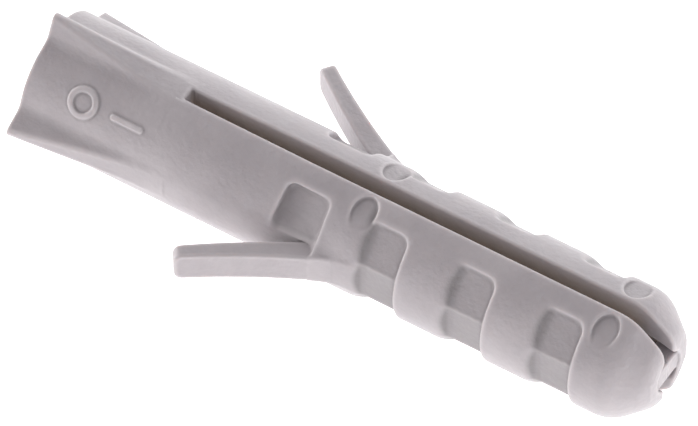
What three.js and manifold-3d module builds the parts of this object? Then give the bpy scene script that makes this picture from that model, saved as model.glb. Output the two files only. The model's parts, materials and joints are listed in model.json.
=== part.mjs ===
// A nylon expansion plug for a 5 mm hole: a ribbed neck, two toothed legs parted by a slot, and two
// locking tongues. Millimetres, +X is the way it goes into the wall, +Z looks up through the slot,
// and the origin is the centre of the head face. The left side is -Y.
import * as THREE from "three";
import { mergeVertices } from "three/addons/utils/BufferGeometryUtils.js";
import Module from "manifold-3d";

const wasm = await Module();
wasm.setup();

// Driving dimensions
const LENGTH = 25;
const BODY_RADIUS = 2.42;
const TIP_RADIUS = 1.34;
const TIP_TAPER_START = 23.72;
const SHOULDER_LENGTH = 0.3; // of the rounding where the tip's taper starts, on each side
const BORE_RADIUS_AT_HEAD = 1.55;
const BORE_RADIUS_AT_TIP = 1;
const SLOT_START = 5.5;
const SLOT_WIDTH = 0.6;
const SPLIT_GAP = 0.04; // between the neck and a leg, and between the halves of the tip web
const ROUND_SEGMENTS = 64;
const SHOULDER_STEPS = 4;

const RIB_COUNT = 4;
const RIB_HEIGHT = 0.8;
const RIB_LENGTH = 5;
const RIB_HALF_FOOT = 0.62;
const RIB_CREST_RADIUS = 0.14;
const RIB_ROOT_DEPTH = 0.25;
const RIB_WAIST_SHARE = 0.3; // how high up the rib its flanks turn from foot to crest

const MARK_ANGLE = THREE.MathUtils.degToRad(47); // from +Z towards -Y
const MARK_RELIEF = 0.07;
const RING_MARK_X = 2.3;
const RING_MARK_RADIUS = 0.6;
const BAR_MARK_X = 4.1;
const BAR_MARK_LENGTH = 1.2;
const MARK_LINE_WIDTH = 0.24;
const MARK_ROOT_DEPTH = 0.3;

const FACET_DISTANCE = 2.165; // from the axis to a pocket's flat floor
const FACET_ANGLE = THREE.MathUtils.degToRad(40.6); // from one floor facet to the next
const FACET_HALF_WIDTH = FACET_DISTANCE * Math.tan(FACET_ANGLE / 2);
const FACET_OVERLAP = 0.48; // of each facet's cutter past the next facet
const POCKET_COUNT = 3;
const FIRST_POCKET_WALL = 15.3;
const TOOTH_PITCH = 3.52;
const POCKET_FLOOR_LENGTH = 1.34;
const POCKET_RAMP_LENGTH = 0.45;
const CUT_REACH = 1; // how far a cutter stands past the surface that it cuts

const TONGUE_POCKET_START = 10.4;
const TONGUE_POCKET_RAMP_LENGTH = 0.15;
const TONGUE_WALL = 12.15;
const TONGUE_POCKET_DISTANCE = 2.05;
const BED_START = 9.9;
const BED_DISTANCE_AT_WALL = 1.94;
const BED_HALF_WIDTH = 0.66;

const KNUCKLE_X = 12.08;
const KNUCKLE_DISTANCE = 2.4;
const KNUCKLE_RADIUS = 0.39;
const KNUCKLE_CLEARANCE = 0.03;
const TONGUE_WIDTH = 1.22;
const TONGUE_TIP_THICKNESS = 0.56;
const TONGUE_LENGTH = 4.8;
const TONGUE_ROOT_ANGLE = THREE.MathUtils.degToRad(28); // from the axis, outwards
const TONGUE_TIP_ANGLE = THREE.MathUtils.degToRad(37);
const TONGUE_CORNER_RADIUS = 0.3;
const TONGUE_STEPS = 10;
const CORNER_STEPS = 6;
const SPREAD_ROOM = THREE.MathUtils.degToRad(14); // the heel stays clear of a tongue this far out
const HEEL_END = 13.6;
const HEEL_HALF_WIDTH = 0.61;
const HEEL_ROOT_DEPTH = 0.5; // below the leg's round surface
const HEEL_EASE = 0.6; // from the crown to where the heel flattens

const PIN_MARK_RADIUS = 0.48;
const PIN_MARK_ANGLE = THREE.MathUtils.degToRad(28); // from +Z or -Z towards the leg's middle
const PIN_MARK_TILT = THREE.MathUtils.degToRad(14); // of its flat floor, the same way
const PIN_MARK_FLOOR = 2.24; // from the plug's axis to the middle of the floor
const PIN_MARK_X = [13.34, 23.05];

const WEB_START = 24.1;
const WEB_END = 24.95;
const WEB_HALF_WIDTH = 0.4;
const WEB_ROOT_DEPTH = 0.2; // inside each leg

// Solids

function solidFrom(geometry) {
  const bare = geometry.clone();
  bare.deleteAttribute("normal");
  bare.deleteAttribute("uv");
  const merged = mergeVertices(bare, 1e-5);
  return new wasm.Manifold(
    new wasm.Mesh({
      numProp: 3,
      vertProperties: new Float32Array(merged.attributes.position.array),
      triVerts: new Uint32Array(merged.index.array),
    }),
  );
}

function geometryFrom(solid) {
  const mesh = solid.getMesh();
  const geometry = new THREE.BufferGeometry();
  geometry.setAttribute("position", new THREE.BufferAttribute(mesh.vertProperties, 3));
  geometry.setIndex(new THREE.BufferAttribute(mesh.triVerts, 1));
  geometry.computeVertexNormals();
  return geometry;
}

function revolved(profile) {
  const geometry = new THREE.LatheGeometry(profile, ROUND_SEGMENTS);
  geometry.rotateZ(-Math.PI / 2);
  return solidFrom(geometry);
}

function boxBetween(low, high) {
  const size = new THREE.Vector3().subVectors(high, low);
  const geometry = new THREE.BoxGeometry(size.x, size.y, size.z);
  const centre = new THREE.Vector3().addVectors(low, high).multiplyScalar(0.5);
  geometry.translate(centre.x, centre.y, centre.z);
  return solidFrom(geometry);
}

function plate(shape, halfWidth, curveSegments = 12) {
  const options = { depth: 2 * halfWidth, bevelEnabled: false, curveSegments };
  const geometry = new THREE.ExtrudeGeometry(shape, options);
  geometry.translate(0, 0, -halfWidth);
  return geometry;
}

function shapeOf(points) {
  return new THREE.Shape(points.map(([x, y]) => new THREE.Vector2(x, y)));
}

function joined(solids) {
  return solids.reduce((whole, solid) => whole.add(solid));
}

// The bore and the outside, both round

function boreRadiusAt(x) {
  return THREE.MathUtils.lerp(BORE_RADIUS_AT_HEAD, BORE_RADIUS_AT_TIP, x / LENGTH);
}

function outerProfile(start) {
  const corner = new THREE.Vector2(BODY_RADIUS, TIP_TAPER_START);
  const tip = new THREE.Vector2(TIP_RADIUS, LENGTH);
  const before = new THREE.Vector2(BODY_RADIUS, TIP_TAPER_START - SHOULDER_LENGTH);
  const after = tip.clone().sub(corner).setLength(SHOULDER_LENGTH).add(corner);
  const shoulder = new THREE.QuadraticBezierCurve(before, corner, after);
  return [new THREE.Vector2(BODY_RADIUS, start), ...shoulder.getPoints(SHOULDER_STEPS), tip];
}

function tubeFrom(start, outline) {
  const end = outline[outline.length - 1].y;
  const profile = [
    new THREE.Vector2(boreRadiusAt(start), start),
    ...outline,
    new THREE.Vector2(boreRadiusAt(end), end),
  ];
  return revolved([...profile, profile[0].clone()]);
}

// The neck

function rib() {
  const low = BODY_RADIUS - RIB_ROOT_DEPTH;
  const high = BODY_RADIUS + RIB_HEIGHT;
  const waist = BODY_RADIUS + RIB_WAIST_SHARE * RIB_HEIGHT;
  const section = new THREE.Shape();
  section.moveTo(-RIB_HALF_FOOT, low);
  section.lineTo(RIB_HALF_FOOT, low);
  section.lineTo(RIB_HALF_FOOT, BODY_RADIUS);
  section.quadraticCurveTo(RIB_CREST_RADIUS, waist, RIB_CREST_RADIUS, high - RIB_CREST_RADIUS);
  section.absarc(0, high - RIB_CREST_RADIUS, RIB_CREST_RADIUS, 0, Math.PI, false);
  section.quadraticCurveTo(-RIB_CREST_RADIUS, waist, -RIB_HALF_FOOT, BODY_RADIUS);
  section.closePath();
  const options = { depth: RIB_LENGTH, bevelEnabled: false, curveSegments: 6 };
  const geometry = new THREE.ExtrudeGeometry(section, options);
  geometry.rotateX(Math.PI / 2);
  geometry.rotateZ(Math.PI / 2);
  sinkTowardsTip(geometry, low);
  return geometry;
}

// The rib stands along +Z: its section sinks evenly to the neck's surface at its far end.
function sinkTowardsTip(geometry, low) {
  const place = geometry.attributes.position;
  const sunkShare = RIB_ROOT_DEPTH / (RIB_HEIGHT + RIB_ROOT_DEPTH);
  for (let i = 0; i < place.count; i += 1) {
    const share = THREE.MathUtils.lerp(1, sunkShare, place.getX(i) / RIB_LENGTH);
    place.setZ(i, low + (place.getZ(i) - low) * share);
  }
}

function ribSolids() {
  return Array.from({ length: RIB_COUNT }, (_, i) => {
    const turned = rib().rotateX((i * 2 * Math.PI) / RIB_COUNT);
    return solidFrom(turned);
  });
}

function mark(shape, x) {
  const options = { depth: MARK_ROOT_DEPTH + MARK_RELIEF, bevelEnabled: false, curveSegments: 16 };
  const geometry = new THREE.ExtrudeGeometry(shape, options);
  geometry.translate(x, 0, BODY_RADIUS - MARK_ROOT_DEPTH);
  return solidFrom(geometry.rotateX(MARK_ANGLE));
}

function ringMark() {
  const ring = new THREE.Shape();
  ring.absarc(0, 0, RING_MARK_RADIUS, 0, 2 * Math.PI);
  const hole = new THREE.Path();
  hole.absarc(0, 0, RING_MARK_RADIUS - MARK_LINE_WIDTH, 0, 2 * Math.PI);
  ring.holes.push(hole);
  return mark(ring, RING_MARK_X);
}

function barMark() {
  const [across, along] = [MARK_LINE_WIDTH / 2, BAR_MARK_LENGTH / 2];
  const corners = [[-across, -along], [across, -along], [across, along], [-across, along]];
  return mark(shapeOf(corners), BAR_MARK_X);
}

function neckSleeve() {
  const outline = [new THREE.Vector2(BODY_RADIUS, 0), new THREE.Vector2(BODY_RADIUS, SLOT_START)];
  const bore = tubeFrom(0, outline);
  return joined([bore, ...ribSolids(), ringMark(), barMark()]);
}

// The legs

function slotSolid() {
  const past = BODY_RADIUS + CUT_REACH;
  return boxBetween(
    new THREE.Vector3(SLOT_START - CUT_REACH, -SLOT_WIDTH / 2, -past),
    new THREE.Vector3(LENGTH + CUT_REACH, past, past),
  );
}

// A flat-floored cut seen from above, (x, distance from the axis), with a sloping end at the head side.
function pocketShape(start, wall, distance, rampLength) {
  const top = BODY_RADIUS + CUT_REACH;
  const slope = rampLength / (BODY_RADIUS - distance);
  const rampTop = start - slope * (top - distance);
  return shapeOf([[rampTop, -top], [start, -distance], [wall, -distance], [wall, -top]]);
}

function facetCut(shape, turn) {
  const past = FACET_HALF_WIDTH + FACET_OVERLAP;
  const low = turn < 0 ? -FACET_HALF_WIDTH : -past;
  const high = turn > 0 ? FACET_HALF_WIDTH : past;
  const geometry = new THREE.ExtrudeGeometry(shape, { depth: high - low, bevelEnabled: false });
  geometry.translate(0, 0, low);
  return solidFrom(geometry.rotateX(-turn * FACET_ANGLE));
}

function pocketCut(start, wall, distance, rampLength) {
  const shape = pocketShape(start, wall, distance, rampLength);
  return joined([-1, 0, 1].map((turn) => facetCut(shape, turn)));
}

function toothPockets() {
  return joined(Array.from({ length: POCKET_COUNT }, (_, i) => {
    const wall = FIRST_POCKET_WALL + i * TOOTH_PITCH;
    return pocketCut(wall - POCKET_FLOOR_LENGTH, wall, FACET_DISTANCE, POCKET_RAMP_LENGTH);
  }));
}

// The tongue folds down on to this sloping bed.
function tongueBedCut() {
  const top = -BODY_RADIUS - CUT_REACH;
  const corners = [
    [BED_START, -BODY_RADIUS],
    [TONGUE_WALL, -BED_DISTANCE_AT_WALL],
    [TONGUE_WALL, top],
    [BED_START, top],
  ];
  return solidFrom(plate(shapeOf(corners), BED_HALF_WIDTH));
}

function heel() {
  const reach = KNUCKLE_RADIUS + KNUCKLE_CLEARANCE;
  const angle = TONGUE_ROOT_ANGLE + SPREAD_ROOM;
  const crownX = KNUCKLE_X + reach * Math.sin(angle);
  const crown = KNUCKLE_DISTANCE + reach * Math.cos(angle);
  const inside = BODY_RADIUS - HEEL_ROOT_DEPTH;
  const shape = new THREE.Shape();
  shape.moveTo(TONGUE_WALL, -inside);
  shape.lineTo(TONGUE_WALL, -crown);
  shape.lineTo(crownX, -crown);
  shape.quadraticCurveTo(crownX + HEEL_EASE, -BODY_RADIUS, HEEL_END, -BODY_RADIUS);
  shape.lineTo(HEEL_END, -inside);
  shape.closePath();
  return solidFrom(plate(shape, HEEL_HALF_WIDTH));
}

function knuckleSocket() {
  const shape = new THREE.Shape();
  shape.absarc(KNUCKLE_X, -KNUCKLE_DISTANCE, KNUCKLE_RADIUS + KNUCKLE_CLEARANCE, 0, 2 * Math.PI);
  return solidFrom(plate(shape, BED_HALF_WIDTH, 24));
}

// A mould pin's round flat-floored print, on the leg's upper or under side.
function pinMark(x, onUnderSide) {
  const geometry = new THREE.CylinderGeometry(PIN_MARK_RADIUS, PIN_MARK_RADIUS, CUT_REACH, 24);
  geometry.translate(0, CUT_REACH / 2, 0);
  geometry.rotateX(Math.PI / 2 + PIN_MARK_TILT);
  const across = -PIN_MARK_FLOOR * Math.sin(PIN_MARK_ANGLE);
  geometry.translate(0, across, PIN_MARK_FLOOR * Math.cos(PIN_MARK_ANGLE));
  geometry.rotateY(onUnderSide ? Math.PI : 0);
  geometry.translate(x, 0, 0);
  return solidFrom(geometry);
}

function halfWeb() {
  const reach = boreRadiusAt(WEB_START) + WEB_ROOT_DEPTH;
  return boxBetween(
    new THREE.Vector3(WEB_START, -reach, -WEB_HALF_WIDTH),
    new THREE.Vector3(WEB_END, -SPLIT_GAP / 2, WEB_HALF_WIDTH),
  );
}

// The leg on the -Y side. It is the same above and below, so half a turn about X makes the other.
function expansionLeg() {
  const pinMarks = PIN_MARK_X.flatMap((x) => [pinMark(x, false), pinMark(x, true)]);
  const tongueFloorStart = TONGUE_POCKET_START + TONGUE_POCKET_RAMP_LENGTH;
  const tonguePocket = pocketCut(
    tongueFloorStart, TONGUE_WALL, TONGUE_POCKET_DISTANCE, TONGUE_POCKET_RAMP_LENGTH);
  return tubeFrom(SLOT_START + SPLIT_GAP, outerProfile(SLOT_START + SPLIT_GAP))
    .subtract(slotSolid())
    .subtract(toothPockets())
    .subtract(tonguePocket)
    .subtract(tongueBedCut())
    .add(heel())
    .subtract(knuckleSocket())
    .subtract(joined(pinMarks))
    .add(halfWeb());
}

// The tongues

// A point on the tongue's middle line, and the angle there, at a share of its length.
function tongueAt(share) {
  const angle = THREE.MathUtils.lerp(TONGUE_ROOT_ANGLE, TONGUE_TIP_ANGLE, share);
  const turn = TONGUE_TIP_ANGLE - TONGUE_ROOT_ANGLE;
  const radius = TONGUE_LENGTH / turn;
  const along = radius * (Math.sin(angle) - Math.sin(TONGUE_ROOT_ANGLE));
  const outwards = radius * (Math.cos(TONGUE_ROOT_ANGLE) - Math.cos(angle));
  return { x: KNUCKLE_X - along, y: -KNUCKLE_DISTANCE - outwards, angle };
}

function tongueEdge(side) {
  return Array.from({ length: TONGUE_STEPS + 1 }, (_, i) => {
    const share = i / TONGUE_STEPS;
    const middle = tongueAt(share);
    const half = THREE.MathUtils.lerp(KNUCKLE_RADIUS, TONGUE_TIP_THICKNESS / 2, share);
    return [
      middle.x + side * half * Math.sin(middle.angle),
      middle.y - side * half * Math.cos(middle.angle),
    ];
  });
}

function roundedEnd() {
  const tip = tongueAt(1);
  const half = TONGUE_WIDTH / 2;
  const corner = TONGUE_CORNER_RADIUS;
  const shape = new THREE.Shape();
  const start = -TONGUE_LENGTH - CUT_REACH;
  shape.moveTo(start, -half);
  shape.lineTo(-corner, -half);
  shape.absarc(-corner, -half + corner, corner, -Math.PI / 2, 0, false);
  shape.absarc(-corner, half - corner, corner, 0, Math.PI / 2, false);
  shape.lineTo(start, half);
  shape.closePath();
  const geometry = plate(shape, CUT_REACH, CORNER_STEPS);
  geometry.rotateX(Math.PI / 2);
  geometry.rotateZ(Math.PI + tip.angle);
  geometry.translate(tip.x, tip.y, 0);
  return solidFrom(geometry);
}

function lockingTongue() {
  const outline = [...tongueEdge(1), ...tongueEdge(-1).reverse()];
  const knuckle = new THREE.Shape();
  knuckle.absarc(KNUCKLE_X, -KNUCKLE_DISTANCE, KNUCKLE_RADIUS, 0, 2 * Math.PI);
  const half = TONGUE_WIDTH / 2;
  return solidFrom(plate(shapeOf(outline), half))
    .add(solidFrom(plate(knuckle, half, 24)))
    .intersect(roundedEnd());
}

// The object

function nylon() {
  return new THREE.MeshStandardMaterial({ color: 0xb2acb0, roughness: 0.5, metalness: 0 });
}

function node(name, solid) {
  const mesh = new THREE.Mesh(geometryFrom(solid), nylon());
  mesh.name = name;
  return mesh;
}

function sideGroup(side, turn) {
  const group = new THREE.Group();
  const past = 2 * BODY_RADIUS;
  const leftHalf = boxBetween(
    new THREE.Vector3(0, -past, -past),
    new THREE.Vector3(LENGTH + CUT_REACH, -SPLIT_GAP / 2, past),
  );
  group.add(node(`expansion_leg_${side}`, expansionLeg().intersect(leftHalf)));
  group.add(node(`locking_tongue_${side}`, lockingTongue()));
  group.rotation.x = turn;
  return group;
}

const wallAnchor = new THREE.Group();
wallAnchor.add(node("neck_sleeve", neckSleeve()));
wallAnchor.add(sideGroup("left", 0));
wallAnchor.add(sideGroup("right", Math.PI));

export default wallAnchor;
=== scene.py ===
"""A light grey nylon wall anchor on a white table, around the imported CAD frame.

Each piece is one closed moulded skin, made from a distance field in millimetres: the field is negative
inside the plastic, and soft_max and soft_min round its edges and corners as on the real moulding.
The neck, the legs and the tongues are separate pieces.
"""
import json
import math

import bpy
import numpy as np
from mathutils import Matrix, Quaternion, Vector


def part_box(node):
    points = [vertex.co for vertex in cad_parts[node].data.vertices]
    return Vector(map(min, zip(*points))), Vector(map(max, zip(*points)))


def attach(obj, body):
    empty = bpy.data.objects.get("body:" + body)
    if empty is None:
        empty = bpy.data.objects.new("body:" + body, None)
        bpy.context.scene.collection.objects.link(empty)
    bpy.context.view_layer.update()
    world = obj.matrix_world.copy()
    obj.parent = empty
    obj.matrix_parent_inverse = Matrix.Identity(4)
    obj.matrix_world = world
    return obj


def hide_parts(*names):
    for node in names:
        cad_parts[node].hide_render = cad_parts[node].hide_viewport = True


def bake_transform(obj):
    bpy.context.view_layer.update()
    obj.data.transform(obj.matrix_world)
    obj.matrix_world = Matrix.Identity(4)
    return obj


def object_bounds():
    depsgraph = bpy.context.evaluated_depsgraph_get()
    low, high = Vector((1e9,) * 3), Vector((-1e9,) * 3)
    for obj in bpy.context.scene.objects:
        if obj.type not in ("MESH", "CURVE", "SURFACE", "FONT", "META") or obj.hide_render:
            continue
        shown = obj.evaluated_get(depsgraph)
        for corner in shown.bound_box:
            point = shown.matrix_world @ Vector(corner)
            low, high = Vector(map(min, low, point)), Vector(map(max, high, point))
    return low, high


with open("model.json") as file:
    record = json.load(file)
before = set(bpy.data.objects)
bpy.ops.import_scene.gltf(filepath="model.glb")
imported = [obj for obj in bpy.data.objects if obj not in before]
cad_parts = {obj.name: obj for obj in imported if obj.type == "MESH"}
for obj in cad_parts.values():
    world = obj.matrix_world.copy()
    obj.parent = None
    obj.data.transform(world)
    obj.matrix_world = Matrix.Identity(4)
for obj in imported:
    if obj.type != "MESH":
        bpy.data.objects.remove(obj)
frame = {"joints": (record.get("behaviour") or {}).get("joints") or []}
cad_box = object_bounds()

MM = 0.001
JOINTS = {joint["name"]: joint for joint in frame["joints"]}
NECK_HIGH = [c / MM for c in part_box("neck_sleeve")[1]]
LEG_HIGH = [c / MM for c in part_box("expansion_leg_left")[1]]
FLOOR_Z = cad_box[0].z

# Sizes are in millimetres, along +X from the head face and out from the axis. A name that ends in
# ROUND is the width of a rounding.

# The body
LENGTH = LEG_HIGH[0]
SLOT_START = NECK_HIGH[0]
RIB_TOP = NECK_HIGH[2]
BODY_RADIUS = 2.42
HEAD_ROUND = 0.07
TIP_RADIUS = 1.34
TIP_TAPER_START = 23.72
TIP_TAPER_ROUND = 0.35
TIP_ROUND = 0.3
BORE_AT_HEAD = 1.55
BORE_AT_TIP = 1.0
BORE_ROUND = 0.1
LIP_RADIUS = 0.75
LIP_FLARE = 0.3
SLOT_WIDTH = 0.6
SLOT_PINCH = 0.04
SLOT_EVEN_FROM = 11.0
SLOT_ROUND = 0.1
RIB_END = 4.9
RIB_CREST = 0.13
RIB_FLARE = 0.5
RIB_ROOT_ROUND = 0.22

# The teeth and their flat-floored pockets
FLOOR_DISTANCE = 2.165
FACET_TURN = math.radians(40.6)
FACET_HALF_WIDTH = FLOOR_DISTANCE * math.tan(FACET_TURN / 2)
FACET_ROUND = 0.04
FIRST_WALL = 15.3
TOOTH_PITCH = 3.52
TOOTH_WALLS = [FIRST_WALL + i * TOOTH_PITCH for i in range(3)]
POCKET_FLOOR = 1.34
POCKET_CORNER_ROUND = 0.5
POCKET_FLOOR_ROUND = 0.1
POCKET_EDGE_ROUND = 0.14
RAMP_LENGTH = 0.36
RAMP_ROUND = 0.2

# The pocket and sloping bed under each tongue
TONGUE_WALL = 12.15
TONGUE_POCKET_START = 10.45
TONGUE_POCKET_FALL = 0.22
TONGUE_POCKET_LEAN = 0.25
TONGUE_POCKET_CORNER_ROUND = 0.35
TONGUE_POCKET_FLOOR_ROUND = 0.2
TONGUE_POCKET_EDGE_ROUND = 0.1
KEEL_HALF_WIDTH = 0.5
KEEL_FLARE = 1.1
KEEL_ROUND = 0.3
BED_HALF_WIDTH = 0.64
BED_HEAD = 6.0
BED_START = 9.9
BED_SHALLOW = 0.035
BED_AT_WALL = 2.12
BED_CORNER_ROUND = 0.1
BED_EDGE_ROUND = 0.08

# The tongues, and the heel behind each one's root
KNUCKLE_X = JOINTS["tongue_left_fold"]["pos_m"][0] / MM
KNUCKLE_OUT = -JOINTS["tongue_left_fold"]["pos_m"][1] / MM
TONGUE_LENGTH = 4.8
TONGUE_ANGLES = (math.radians(28), math.radians(37))
TONGUE_HALF_THICK = (0.39, 0.28)
TONGUE_HALF_WIDTH = 0.61
TONGUE_CORNER = 0.3
TONGUE_EDGE_ROUND = 0.12
TONGUE_ROOT_ROUND = 0.12
TONGUE_ROOT_HIDDEN = 0.3
HEEL_START = KNUCKLE_X - 0.1
HEEL_END = 14.0
HEEL_SINKS_TO = 2.3
HEEL_SLOPE = 1.3
HEEL_REACH = 1.5
HEEL_EDGE_ROUND = 0.08
HEEL_ROOT_ROUND = 0.2

# Oval prints of the mould's pins
PIN_HALF_LENGTH = 0.46
PIN_HALF_WIDTH = 0.6
PIN_ANGLE = math.radians(28)
PIN_TILT = math.radians(20)
PIN_FLOOR = 2.3
PIN_X = (13.34, 23.05)
PIN_FLOOR_ROUND = 0.08
PIN_EDGE_ROUND = 0.07

# Raised marks on the neck
MARK_ANGLE = math.radians(47)
MARK_RELIEF = 0.07
RING_X = 2.3
RING_RADIUS = 0.48
DASH_X = 4.1
DASH_HALF_LENGTH = 0.55
MARK_HALF_LINE = 0.11
MARK_EDGE_ROUND = 0.06
MARK_ROOT_ROUND = 0.05

# The web that ties the legs together at the tip
WEB_START = 24.1
WEB_END = 24.94
WEB_HALF_WIDTH = 0.44
WEB_INTO_WALL = 0.15
WEB_EDGE_ROUND = 0.12
WEB_ROOT_ROUND = 0.1

# Laps, where one piece dives under the next by a hair so that no seam shows. The neck alone fills the
# strip between the legs as far as the slot, and a stub of each leg reaches inside its tongue's root.
LAP = 0.006
NECK_LAP = (4.7, 5.8)
LEG_BEFORE_LAP = 0.1
STRIP_PAST_SLOT_WALL = 0.05
STRIP_PAST_SLOT_START = 0.1
STUB_LENGTH = 0.6
STUB_SINKS_BY = 0.07

# The boxes that the skins are looked for in, with the legs and tongues on the +Y side
MARGIN = 0.2
NECK_BOX = ((-MARGIN, -3.4, -3.4), (NECK_LAP[1] + MARGIN, 3.4, 3.4))
LEG_BOX = ((NECK_LAP[0] - 0.3, -MARGIN, -2.6), (LENGTH + MARGIN, 3.1, 2.6))
TONGUE_BOX = ((7.6, 1.6, -0.75), (12.9, 5.4, 0.75))
CELL = 0.05
TONGUE_CELL_SHARE = 0.8


# Distance fields

def soft_max(a, b, blend):
    """The larger of two fields, rounded where they are within blend of each other."""
    overlap = np.maximum(blend - np.abs(a - b), 0) / blend
    return np.maximum(a, b) + overlap * overlap * blend / 4


def soft_min(a, b, blend):
    return -soft_max(-a, -b, blend)


def share_between(value, start, end):
    """0 on start's side, 1 on end's side, and in proportion in between."""
    return np.clip((value - start) / (end - start), 0, 1)


def outer_skin(x, radius):
    run, rise = LENGTH - TIP_TAPER_START, BODY_RADIUS - TIP_RADIUS
    slant = math.hypot(run, rise)
    taper = ((radius - TIP_RADIUS) * run + (x - LENGTH) * rise) / slant
    return soft_max(radius - BODY_RADIUS, taper, TIP_TAPER_ROUND)


def ribs(x, side, up):
    out, across = np.maximum(side, up), np.minimum(side, up)
    top = BODY_RADIUS + (RIB_TOP - BODY_RADIUS) * (1 - x / RIB_END) - RIB_CREST
    half_width = RIB_FLARE * np.maximum(RIB_TOP - out, 0)
    beside, above = across - half_width, out - top
    outside = np.hypot(np.maximum(beside, 0), np.maximum(above, 0))
    return outside + np.minimum(np.maximum(beside, above), 0) - RIB_CREST


def bore(x, radius):
    wall = BORE_AT_HEAD + (BORE_AT_TIP - BORE_AT_HEAD) * x / LENGTH
    lip = LIP_RADIUS + LIP_FLARE * (LENGTH - x)
    return radius - soft_min(wall, lip, BORE_ROUND)


def slot(x, side):
    half = SLOT_WIDTH / 2 - SLOT_PINCH * share_between(x, SLOT_EVEN_FROM, SLOT_START)
    return soft_max(side - half, SLOT_START - x, SLOT_ROUND)


def facet_reach(side, up):
    """How far out a point is, measured square to the nearest of a pocket's three floor facets."""
    tilted = side * math.cos(FACET_TURN) + up * math.sin(FACET_TURN)
    return soft_max(side, tilted, FACET_ROUND)


def facet_edge(side, up):
    """How far past the upper or lower edge of a pocket a point is."""
    return up * math.cos(FACET_TURN) - side * math.sin(FACET_TURN) - FACET_HALF_WIDTH


def tooth_pocket(x, side, up, wall):
    below_floor = FLOOR_DISTANCE - facet_reach(side, up)
    before_floor = wall - POCKET_FLOOR - x
    depth = BODY_RADIUS - FLOOR_DISTANCE
    ramp = (before_floor * depth + below_floor * RAMP_LENGTH) / math.hypot(depth, RAMP_LENGTH)
    outline = soft_max(x - wall, facet_edge(side, up), POCKET_CORNER_ROUND)
    outline = soft_max(outline, ramp, RAMP_ROUND)
    return soft_max(outline, below_floor, POCKET_FLOOR_ROUND)


def tongue_pocket(x, side, up):
    fall = TONGUE_POCKET_FALL * share_between(x, TONGUE_WALL, TONGUE_POCKET_START)
    rising_floor = FLOOR_DISTANCE - fall
    head_wall = TONGUE_POCKET_START - TONGUE_POCKET_LEAN * (1 - up / BODY_RADIUS) - x
    ends = np.maximum(x - TONGUE_WALL, head_wall)
    reach = facet_reach(side, up)
    keel = (KEEL_HALF_WIDTH + KEEL_FLARE * (BODY_RADIUS - reach) - up) / math.hypot(1, KEEL_FLARE)
    outline = soft_max(ends, facet_edge(side, up), TONGUE_POCKET_CORNER_ROUND)
    outline = soft_max(outline, keel, KEEL_ROUND)
    return soft_max(outline, rising_floor - reach, TONGUE_POCKET_FLOOR_ROUND)


def tongue_bed(x, side, up):
    shallow = BED_SHALLOW * share_between(x, BED_HEAD, BED_START)
    steep = (BODY_RADIUS - BED_SHALLOW - BED_AT_WALL) * share_between(x, BED_START, TONGUE_WALL)
    cut = BODY_RADIUS - shallow - steep - side
    ends = np.maximum(x - TONGUE_WALL, BED_HEAD - x)
    return soft_max(np.maximum(cut, ends), up - BED_HALF_WIDTH, BED_CORNER_ROUND)


def pin_print(x, side, up, pin_x):
    out = side - PIN_FLOOR * math.sin(PIN_ANGLE)
    high = up - PIN_FLOOR * math.cos(PIN_ANGLE)
    along = out * math.sin(PIN_TILT) + high * math.cos(PIN_TILT)
    outline = PIN_HALF_LENGTH * (np.hypot((x - pin_x) / PIN_HALF_LENGTH, out / PIN_HALF_WIDTH) - 1)
    return soft_max(outline, -along, PIN_FLOOR_ROUND)


def neck_marks(x, y, z, radius):
    around = y * math.cos(MARK_ANGLE) + z * math.sin(MARK_ANGLE)
    ring = np.abs(np.hypot(x - RING_X, around) - RING_RADIUS)
    dash = np.hypot(np.maximum(np.abs(x - DASH_X) - DASH_HALF_LENGTH, 0), around)
    line = np.minimum(ring, dash) - MARK_HALF_LINE
    facing = z * math.cos(MARK_ANGLE) - y * math.sin(MARK_ANGLE)
    raised = soft_max(line, radius - BODY_RADIUS - MARK_RELIEF, MARK_EDGE_ROUND)
    unmarked = 1.0
    return np.where(facing > 0, raised, unmarked)


def web(x, side, up):
    along = np.maximum(WEB_START - x, x - WEB_END)
    strip = soft_max(along, up - WEB_HALF_WIDTH, WEB_EDGE_ROUND)
    return np.maximum(strip, side - BORE_AT_TIP - WEB_INTO_WALL)


def heel(x, side, up):
    """The swelling behind a tongue's root, which slopes away to the tooth round it."""
    root_out = KNUCKLE_OUT + TONGUE_HALF_THICK[0]
    fall = share_between(x, KNUCKLE_X, HEEL_END)
    crown = root_out - (root_out - HEEL_SINKS_TO) * (1 - (1 - fall) ** 2)
    over = side - crown
    flank = (over + HEEL_SLOPE * (up - TONGUE_HALF_WIDTH)) / math.hypot(1, HEEL_SLOPE)
    ends = np.maximum(np.maximum(HEEL_START - x, x - HEEL_END), up - HEEL_REACH)
    return np.maximum(soft_max(over, flank, HEEL_EDGE_ROUND), ends)


def tongue_bar(x, side, up, root=0.0):
    """A flat bar bent along an arc, from root millimetres along it to its rounded end."""
    start, end = TONGUE_ANGLES
    bend = TONGUE_LENGTH / (end - start)
    from_x = x - KNUCKLE_X - bend * math.sin(start)
    from_out = side - KNUCKLE_OUT - bend * math.cos(start)
    along = (np.arctan2(-from_x, -from_out) - start) * bend
    off_middle = np.abs(np.hypot(from_x, from_out) - bend)
    share = share_between(along, 0, TONGUE_LENGTH)
    half = TONGUE_HALF_THICK[0] + (TONGUE_HALF_THICK[1] - TONGUE_HALF_THICK[0]) * share
    past_end = along - TONGUE_LENGTH + TONGUE_CORNER
    past_edge = up - TONGUE_HALF_WIDTH + TONGUE_CORNER
    outline = np.hypot(np.maximum(past_end, 0), np.maximum(past_edge, 0))
    outline = outline + np.minimum(np.maximum(past_end, past_edge), 0) - TONGUE_CORNER
    plate = soft_max(outline, off_middle - half, TONGUE_EDGE_ROUND)
    return np.maximum(plate, root - along)


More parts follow.
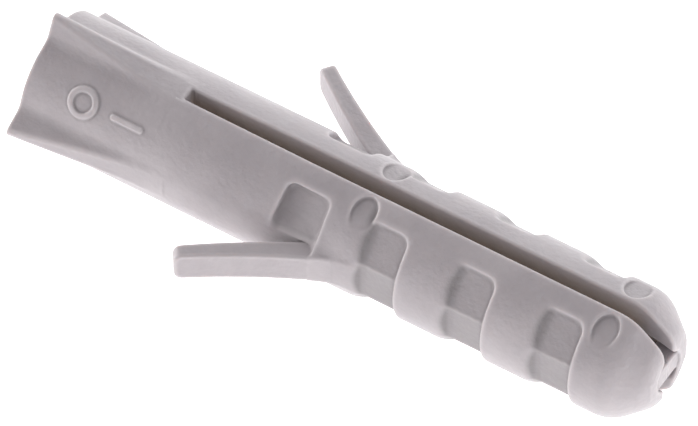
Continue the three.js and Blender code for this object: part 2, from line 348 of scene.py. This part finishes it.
def plug(x, y, z):
    """The whole moulding without its tongues."""
    side, up, radius = np.abs(y), np.abs(z), np.hypot(y, z)
    body = soft_min(outer_skin(x, radius), ribs(x, side, up), RIB_ROOT_ROUND)
    body = soft_min(body, heel(x, side, up), HEEL_ROOT_ROUND)
    body = soft_min(body, neck_marks(x, y, z, radius), MARK_ROOT_ROUND)
    body = soft_max(body, -x, HEAD_ROUND)
    body = soft_max(body, x - LENGTH, TIP_ROUND)
    body = soft_max(body, -bore(x, radius), BORE_ROUND)
    body = soft_max(body, -slot(x, side), SLOT_ROUND)
    for wall in TOOTH_WALLS:
        body = soft_max(body, -tooth_pocket(x, side, up, wall), POCKET_EDGE_ROUND)
    body = soft_max(body, -tongue_pocket(x, side, up), TONGUE_POCKET_EDGE_ROUND)
    body = soft_max(body, -tongue_bed(x, side, up), BED_EDGE_ROUND)
    for pin_x in PIN_X:
        body = soft_max(body, -pin_print(x, side, up, pin_x), PIN_EDGE_ROUND)
    return soft_min(body, web(x, side, up), WEB_ROOT_ROUND)


def neck_field(x, y, z):
    lap = LAP * share_between(x, *NECK_LAP)
    return np.maximum(plug(x, y, z) + lap, x - NECK_LAP[1])


def leg_field(x, y, z, side_sign):
    lap = LAP * (1 - share_between(x, *NECK_LAP))
    stub_end = KNUCKLE_X - STUB_LENGTH
    sunk = LAP + STUB_SINKS_BY * share_between(x, KNUCKLE_X, stub_end)
    stub = np.maximum(tongue_bar(x, np.abs(y), np.abs(z), -STUB_LENGTH) + sunk, stub_end - x)
    body = soft_min(plug(x, y, z) + lap, stub, TONGUE_ROOT_ROUND)
    beside_slot = SLOT_WIDTH / 2 + STRIP_PAST_SLOT_WALL - side_sign * y
    strip = np.minimum(beside_slot, SLOT_START + STRIP_PAST_SLOT_START - x)
    body = np.maximum(np.maximum(body, strip), -side_sign * y - LAP)
    return np.maximum(body, NECK_LAP[0] - LEG_BEFORE_LAP - x)


def tongue_field(x, y, z, side_sign):
    return tongue_bar(x, side_sign * y, np.abs(z), -TONGUE_ROOT_HIDDEN)


# From a field to a mesh

EDGES = [(axis, first, second) for axis in range(3) for first in (0, 1) for second in (0, 1)]


def corner_view(values, offset):
    """The grid values seen from each cell's corner at this offset."""
    return values[tuple(slice(o, values.shape[k] - 1 + o) for k, o in enumerate(offset))]


def crossings(values, active):
    """The mean place, in cells, where the skin crosses each active cell's edges."""
    total = np.zeros((int(active.sum()), 3))
    count = np.zeros(len(total))
    for axis, first, second in EDGES:
        low = np.insert([first, second], axis, 0)
        high = np.insert([first, second], axis, 1)
        a = corner_view(values, low)[active]
        b = corner_view(values, high)[active]
        crossed = (a < 0) != (b < 0)
        share = np.where(crossed, a / np.where(crossed, a - b, 1), 0)
        place = np.tile(low.astype(float), (len(a), 1))
        place[:, axis] += share
        total += place * crossed[:, None]
        count += crossed
    return total / count[:, None]


def skin_quads(values, index):
    """One quad round each grid edge that the skin crosses, facing out."""
    quads = []
    for axis in range(3):
        u, v = (axis + 1) % 3, (axis + 2) % 3
        inner = [slice(1, -1)] * 3
        inner[axis] = slice(0, -1)
        ahead = list(inner)
        ahead[axis] = slice(1, None)
        a, b = values[tuple(inner)] < 0, values[tuple(ahead)] < 0
        for starts_inside in (True, False):
            cell = np.argwhere((a == starts_inside) & (b != starts_inside))
            cell += [0 if k == axis else 1 for k in range(3)]
            steps = [(0, 0), (-1, 0), (-1, -1), (0, -1)]
            if not starts_inside:
                steps.reverse()
            ring = []
            for du, dv in steps:
                at = cell.copy()
                at[:, u] += du
                at[:, v] += dv
                ring.append(index[at[:, 0], at[:, 1], at[:, 2]])
            quads.append(np.stack(ring, axis=1))
    return np.concatenate(quads)


def slope_of(field, points, reach=0.004):
    """How steeply the field rises along each axis at each point."""
    rises = [field(*(points + s).T) - field(*(points - s).T) for s in np.eye(3) * reach]
    return np.stack([rise / (2 * reach) for rise in rises], axis=1)


def settle(field, points, step, rounds=3, least_slope_squared=0.2):
    """Moves points on to the skin, by no more than a cell."""
    placed = points.copy()
    for _ in range(rounds):
        slope = slope_of(field, placed)
        size = np.maximum((slope ** 2).sum(axis=1), least_slope_squared)
        placed -= slope * (field(*placed.T) / size)[:, None]
    return points + np.clip(placed - points, -step, step)


# What the material is told about each point. Each pair of numbers is where a fade starts and ends.

# How much painted shade a pocket gets all over, and what its middle facet adds, on a scale where its
# ramp is 1
POCKET_SHADE = 0.15
MIDDLE_FACET_SHADE = 0.45


def edge_sharpness(field, points, reach=0.11, sharpest=1.2):
    """Above 0 on rounded edges that stand out and below 0 in corners, from -1 to 1."""
    total = sum(field(*(points + s).T) + field(*(points - s).T) for s in np.eye(3) * reach)
    return np.clip((total - 6 * field(*points.T)) / reach / sharpest, -1, 1)


def painted_inside_shade(points):
    """Painted warm shade on the slot and bore walls: 0 on the outside and at the tip, and up to 1 deep
    in the slot and the bore.
    """
    x, y, z = points.T
    radius = np.hypot(y, z)
    off_wall = np.minimum(np.abs(np.abs(y) - SLOT_WIDTH / 2), np.abs(bore(x, radius)))
    short_of_tip = share_between(x, WEB_START, WEB_START - 0.8)
    on_wall = share_between(off_wall, 0.2, 0.1)
    return short_of_tip * on_wall * share_between(radius, BODY_RADIUS, BORE_AT_HEAD)


def painted_pocket_shade(points):
    """Painted shade in a pocket: full on its ramp, partly on its middle facet and a little elsewhere.
    """
    x, y, z = points.T
    radius, side = np.hypot(y, z), np.abs(y)
    off_bore = share_between(radius, BORE_AT_HEAD + 0.1, BORE_AT_HEAD + 0.3)
    off_slot = share_between(side, 0.5, 0.8)
    below_skin = share_between(radius, BODY_RADIUS - 0.03, BODY_RADIUS - 0.12)
    short_of_tip = share_between(x, TIP_TAPER_START, TIP_TAPER_START - 1)
    ramp_middles = [wall - POCKET_FLOOR - RAMP_LENGTH / 2 for wall in TOOTH_WALLS]
    ramp = sum(share_between(np.abs(x - m), RAMP_LENGTH, RAMP_LENGTH / 4) for m in ramp_middles)
    middle = share_between(side, FLOOR_DISTANCE - 0.12, FLOOR_DISTANCE - 0.02)
    painted_shade = np.maximum(ramp, POCKET_SHADE + MIDDLE_FACET_SHADE * middle)
    return off_bore * off_slot * below_skin * short_of_tip * painted_shade


def away_from_seams(points):
    """0 near a lap, where light under the skin would show the hidden end, and 1 further off."""
    x, y, _ = points.T
    from_neck_seam = np.abs(x - sum(NECK_LAP) / 2) - (NECK_LAP[1] - NECK_LAP[0]) / 2
    from_root_seam = np.hypot(x - KNUCKLE_X, np.abs(y) - KNUCKLE_OUT) - STUB_LENGTH
    return share_between(np.minimum(from_neck_seam, from_root_seam), 0.15, 0.9)


def set_attribute(mesh, name, values):
    mesh.attributes.new(name, "FLOAT", "POINT").data.foreach_set("value", values.astype(np.float32))


def moulded(name, field, low, high, step, sharp_from=math.radians(60)):
    """The field's skin inside a box, as one closed piece. Only its hard cuts are shaded as sharp."""
    axes = [np.arange(a, b + step, step) for a, b in zip(low, high)]
    grid = np.meshgrid(*axes, indexing="ij")
    values = field(*grid)
    corners = [(i, j, k) for i in (0, 1) for j in (0, 1) for k in (0, 1)]
    inside = sum(corner_view(values < 0, corner).astype(np.int8) for corner in corners)
    active = (inside > 0) & (inside < len(corners))
    index = np.full(active.shape, -1)
    index[active] = np.arange(int(active.sum()))
    points = (np.argwhere(active) + crossings(values, active)) * step + np.array(low)
    points = settle(field, points, step)
    mesh = bpy.data.meshes.new(name)
    mesh.from_pydata(points * MM, [], skin_quads(values, index))
    set_attribute(mesh, "edge", edge_sharpness(field, points))
    set_attribute(mesh, "inside", painted_inside_shade(points))
    set_attribute(mesh, "pocket_shade", painted_pocket_shade(points))
    set_attribute(mesh, "unlapped", away_from_seams(points))
    mesh.shade_smooth()
    mesh.set_sharp_from_angle(angle=sharp_from)
    piece = bpy.data.objects.new(name, mesh)
    bpy.context.scene.collection.objects.link(piece)
    return piece


# Material

class Nodes:
    """A small helper that adds nodes to a material or world and links them."""

    def __init__(self, owner):
        self.tree = owner.node_tree

    def add(self, kind, **values):
        node = self.tree.nodes.new(kind)
        for key, value in values.items():
            setattr(node, key, value)
        return node

    def link(self, source, target):
        self.tree.links.new(source, target)


def colour(red, green, blue):
    """A Blender linear colour from display values, 0 to 255."""
    def linear(c):
        c /= 255
        return c / 12.92 if c <= 0.04045 else ((c + 0.055) / 1.055) ** 2.4
    return (linear(red), linear(green), linear(blue), 1)


def shaded_by(nodes, base, attribute, reach, most, tint):
    """Turns a base colour towards a tint, as a mesh attribute goes from one value to another."""
    value = nodes.add("ShaderNodeAttribute", attribute_name=attribute)
    share = nodes.add("ShaderNodeMapRange")
    share.inputs["From Min"].default_value = reach[0]
    share.inputs["From Max"].default_value = reach[1]
    share.inputs["To Max"].default_value = most
    nodes.link(value.outputs["Fac"], share.inputs["Value"])
    mix = nodes.add("ShaderNodeMix", data_type="RGBA")
    mix.inputs["B"].default_value = tint
    nodes.link(share.outputs["Result"], mix.inputs["Factor"])
    nodes.link(base, mix.inputs["A"])
    return mix.outputs["Result"]


def nylon():
    material = bpy.data.materials.new("grey_nylon")
    material.use_nodes = True
    nodes = Nodes(material)
    shader = material.node_tree.nodes["Principled BSDF"]
    place = nodes.add("ShaderNodeTexCoord")

    clouds = nodes.add("ShaderNodeTexNoise", noise_dimensions="3D")
    clouds.inputs["Scale"].default_value = 450
    clouds.inputs["Detail"].default_value = 8
    clouds.inputs["Roughness"].default_value = 0.7
    nodes.link(place.outputs["Object"], clouds.inputs["Vector"])

    tone = nodes.add("ShaderNodeValToRGB")
    tone.color_ramp.elements[0].position = 0.3
    tone.color_ramp.elements[0].color = colour(169, 162, 166)
    tone.color_ramp.elements[1].position = 0.7
    tone.color_ramp.elements[1].color = colour(183, 176, 179)
    nodes.link(clouds.outputs["Fac"], tone.inputs["Fac"])

    # Painted shade: the pockets turn towards a darker grey, fully on their ramps and partly on their
    # floors.
    sunk = shaded_by(nodes, tone.outputs["Color"], "pocket_shade", (0, 1), 0.7, colour(122, 118, 119))
    # Painted shade: corners and creases, where the edge measure is below 0, turn darker.
    corner_shaded = shaded_by(nodes, sunk, "edge", (-0.05, -0.7), 0.5, colour(126, 119, 121))
    # Painted highlight: rounded edges that stand out turn paler, as if they catch the light.
    edge_highlighted = shaded_by(nodes, corner_shaded, "edge", (0.04, 0.6), 0.35, colour(212, 206, 208))
    # Painted shade: the walls deep in the slot and the bore turn a warm brown, for the shade inside
    # them.
    inside_shaded = shaded_by(nodes, edge_highlighted, "inside", (0, 1), 1, colour(186, 172, 162))
    nodes.link(inside_shaded, shader.inputs["Base Color"])

    grain = nodes.add("ShaderNodeTexNoise", noise_dimensions="3D")
    grain.inputs["Scale"].default_value = 5000
    grain.inputs["Detail"].default_value = 3
    nodes.link(place.outputs["Object"], grain.inputs["Vector"])
    bump = nodes.add("ShaderNodeBump")
    bump.inputs["Strength"].default_value = 0.4
    bump.inputs["Distance"].default_value = 0.00008
    nodes.link(grain.outputs["Fac"], bump.inputs["Height"])
    nodes.link(bump.outputs["Normal"], shader.inputs["Normal"])

    shader.inputs["Roughness"].default_value = 0.48
    shader.inputs["IOR"].default_value = 1.53
    unlapped = nodes.add("ShaderNodeAttribute", attribute_name="unlapped")
    weight = nodes.add("ShaderNodeMapRange")
    weight.inputs["To Max"].default_value = 0.5
    nodes.link(unlapped.outputs["Fac"], weight.inputs["Value"])
    nodes.link(weight.outputs["Result"], shader.inputs["Subsurface Weight"])
    shader.inputs["Subsurface Radius"].default_value = (1.0, 0.8, 0.7)
    shader.inputs["Subsurface Scale"].default_value = 0.0003
    shader.inputs["Sheen Weight"].default_value = 0.25
    shader.inputs["Sheen Roughness"].default_value = 0.4
    return material


# Pieces

def build_pieces():
    step = CELL
    skin = nylon()
    neck = moulded("neck", neck_field, *NECK_BOX, step)
    neck.data.materials.append(skin)
    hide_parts("neck_sleeve")
    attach(neck, "neck")
    for side_name, side_sign in (("left", -1), ("right", 1)):
        build_leg(side_name, side_sign, step, skin)
        build_tongue(side_name, side_sign, step, skin)


def side_box(side_sign, low, high):
    """A box given for the +Y side, turned to the side that is asked for."""
    if side_sign > 0:
        return low, high
    return (low[0], -high[1], low[2]), (high[0], -low[1], high[2])


def build_leg(side_name, side_sign, step, skin):
    def field(x, y, z):
        return leg_field(x, y, z, side_sign)
    leg = moulded(f"leg_{side_name}", field, *side_box(side_sign, *LEG_BOX), step)
    leg.data.materials.append(skin)
    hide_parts(f"expansion_leg_{side_name}")
    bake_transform(leg)


def build_tongue(side_name, side_sign, step, skin):
    def field(x, y, z):
        return tongue_field(x, y, z, side_sign)
    box = side_box(side_sign, *TONGUE_BOX)
    tongue = moulded(f"tongue_{side_name}", field, *box, step * TONGUE_CELL_SHARE)
    tongue.data.materials.append(skin)
    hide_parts(f"locking_tongue_{side_name}")
    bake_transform(tongue)


# Stage, in metres

LIGHT_DISTANCE = 0.3
LIGHT_SIZE = 0.2
FLOOR_HALF_SIZE = 0.6


def build_floor():
    mesh = bpy.data.meshes.new("floor")
    half = FLOOR_HALF_SIZE
    corners = [(-half, -half, 0), (half, -half, 0), (half, half, 0), (-half, half, 0)]
    mesh.from_pydata(corners, [], [(0, 1, 2, 3)])
    floor = bpy.data.objects.new("floor", mesh)
    floor.location.z = FLOOR_Z
    bpy.context.scene.collection.objects.link(floor)
    material = bpy.data.materials.new("white_table")
    material.use_nodes = True
    shader = material.node_tree.nodes["Principled BSDF"]
    shader.inputs["Base Color"].default_value = (0.9, 0.9, 0.9, 1)
    shader.inputs["Roughness"].default_value = 0.9
    shader.inputs["Specular IOR Level"].default_value = 0
    shader.inputs["Emission Color"].default_value = (1, 1, 1, 1)
    shader.inputs["Emission Strength"].default_value = 1.0
    mesh.materials.append(material)


def add_light(name, direction, power, tint):
    data = bpy.data.lights.new(name, "AREA")
    data.size = LIGHT_SIZE
    data.energy = power
    data.color = tint
    light = bpy.data.objects.new(name, data)
    aim = Vector((LENGTH / 2 * MM, 0, 0))
    back = Vector(direction).normalized()
    light.location = aim + back * LIGHT_DISTANCE
    light.rotation_mode = "QUATERNION"
    light.rotation_quaternion = (-back).to_track_quat("-Z", "Y")
    bpy.context.scene.collection.objects.link(light)


def sky(world):
    """A room that is bright all round at table height and dims overhead."""
    nodes = Nodes(world)
    place = nodes.add("ShaderNodeTexCoord")
    split = nodes.add("ShaderNodeSeparateXYZ")
    height = nodes.add("ShaderNodeMapRange")
    height.inputs["From Min"].default_value = 0.1
    height.inputs["From Max"].default_value = 0.7
    height.inputs["To Min"].default_value = 0.85
    height.inputs["To Max"].default_value = 0.44
    nodes.link(place.outputs["Generated"], split.inputs["Vector"])
    nodes.link(split.outputs["Z"], height.inputs["Value"])
    nodes.link(height.outputs["Result"], world.node_tree.nodes["Background"].inputs["Strength"])


def build_lights():
    world = bpy.data.worlds.new("studio")
    world.use_nodes = True
    world.node_tree.nodes["Background"].inputs["Color"].default_value = (1, 0.99, 1, 1)
    sky(world)
    bpy.context.scene.world = world
    add_light("head_side", (-1, -0.1, 0.08), 0.78, (1, 0.97, 0.96))
    add_light("tip_side", (1, 0.1, 0.08), 0.28, (1, 0.99, 1))
    add_light("behind", (-0.1, 1, 0.7), 0.38, (0.97, 0.99, 1))
    bpy.context.scene.view_settings.view_transform = "Standard"


# Camera

AZIMUTH = math.radians(31.75)
ELEVATION = math.radians(50.8)
ROLL = math.radians(0.36)
CAMERA_DISTANCE = 0.4
PIXELS_PER_MM = 28.91
FRAME_WIDTH = 698
AIM = Vector((12.01, 0.107, 0)) * MM


def build_camera():
    data = bpy.data.cameras.new("camera")
    data.sensor_width = 36
    data.lens = data.sensor_width * CAMERA_DISTANCE / (FRAME_WIDTH / PIXELS_PER_MM * MM)
    data.clip_start = 0.01
    data.clip_end = 10
    camera = bpy.data.objects.new("camera", data)
    flat = math.cos(ELEVATION)
    back = Vector((math.sin(AZIMUTH) * flat, -math.cos(AZIMUTH) * flat, math.sin(ELEVATION)))
    camera.location = AIM + back * CAMERA_DISTANCE
    camera.rotation_mode = "QUATERNION"
    camera.rotation_quaternion = Quaternion(back, ROLL) @ (-back).to_track_quat("-Z", "Y")
    bpy.context.scene.collection.objects.link(camera)
    bpy.context.scene.camera = camera


build_pieces()
build_floor()
build_lights()
build_camera()
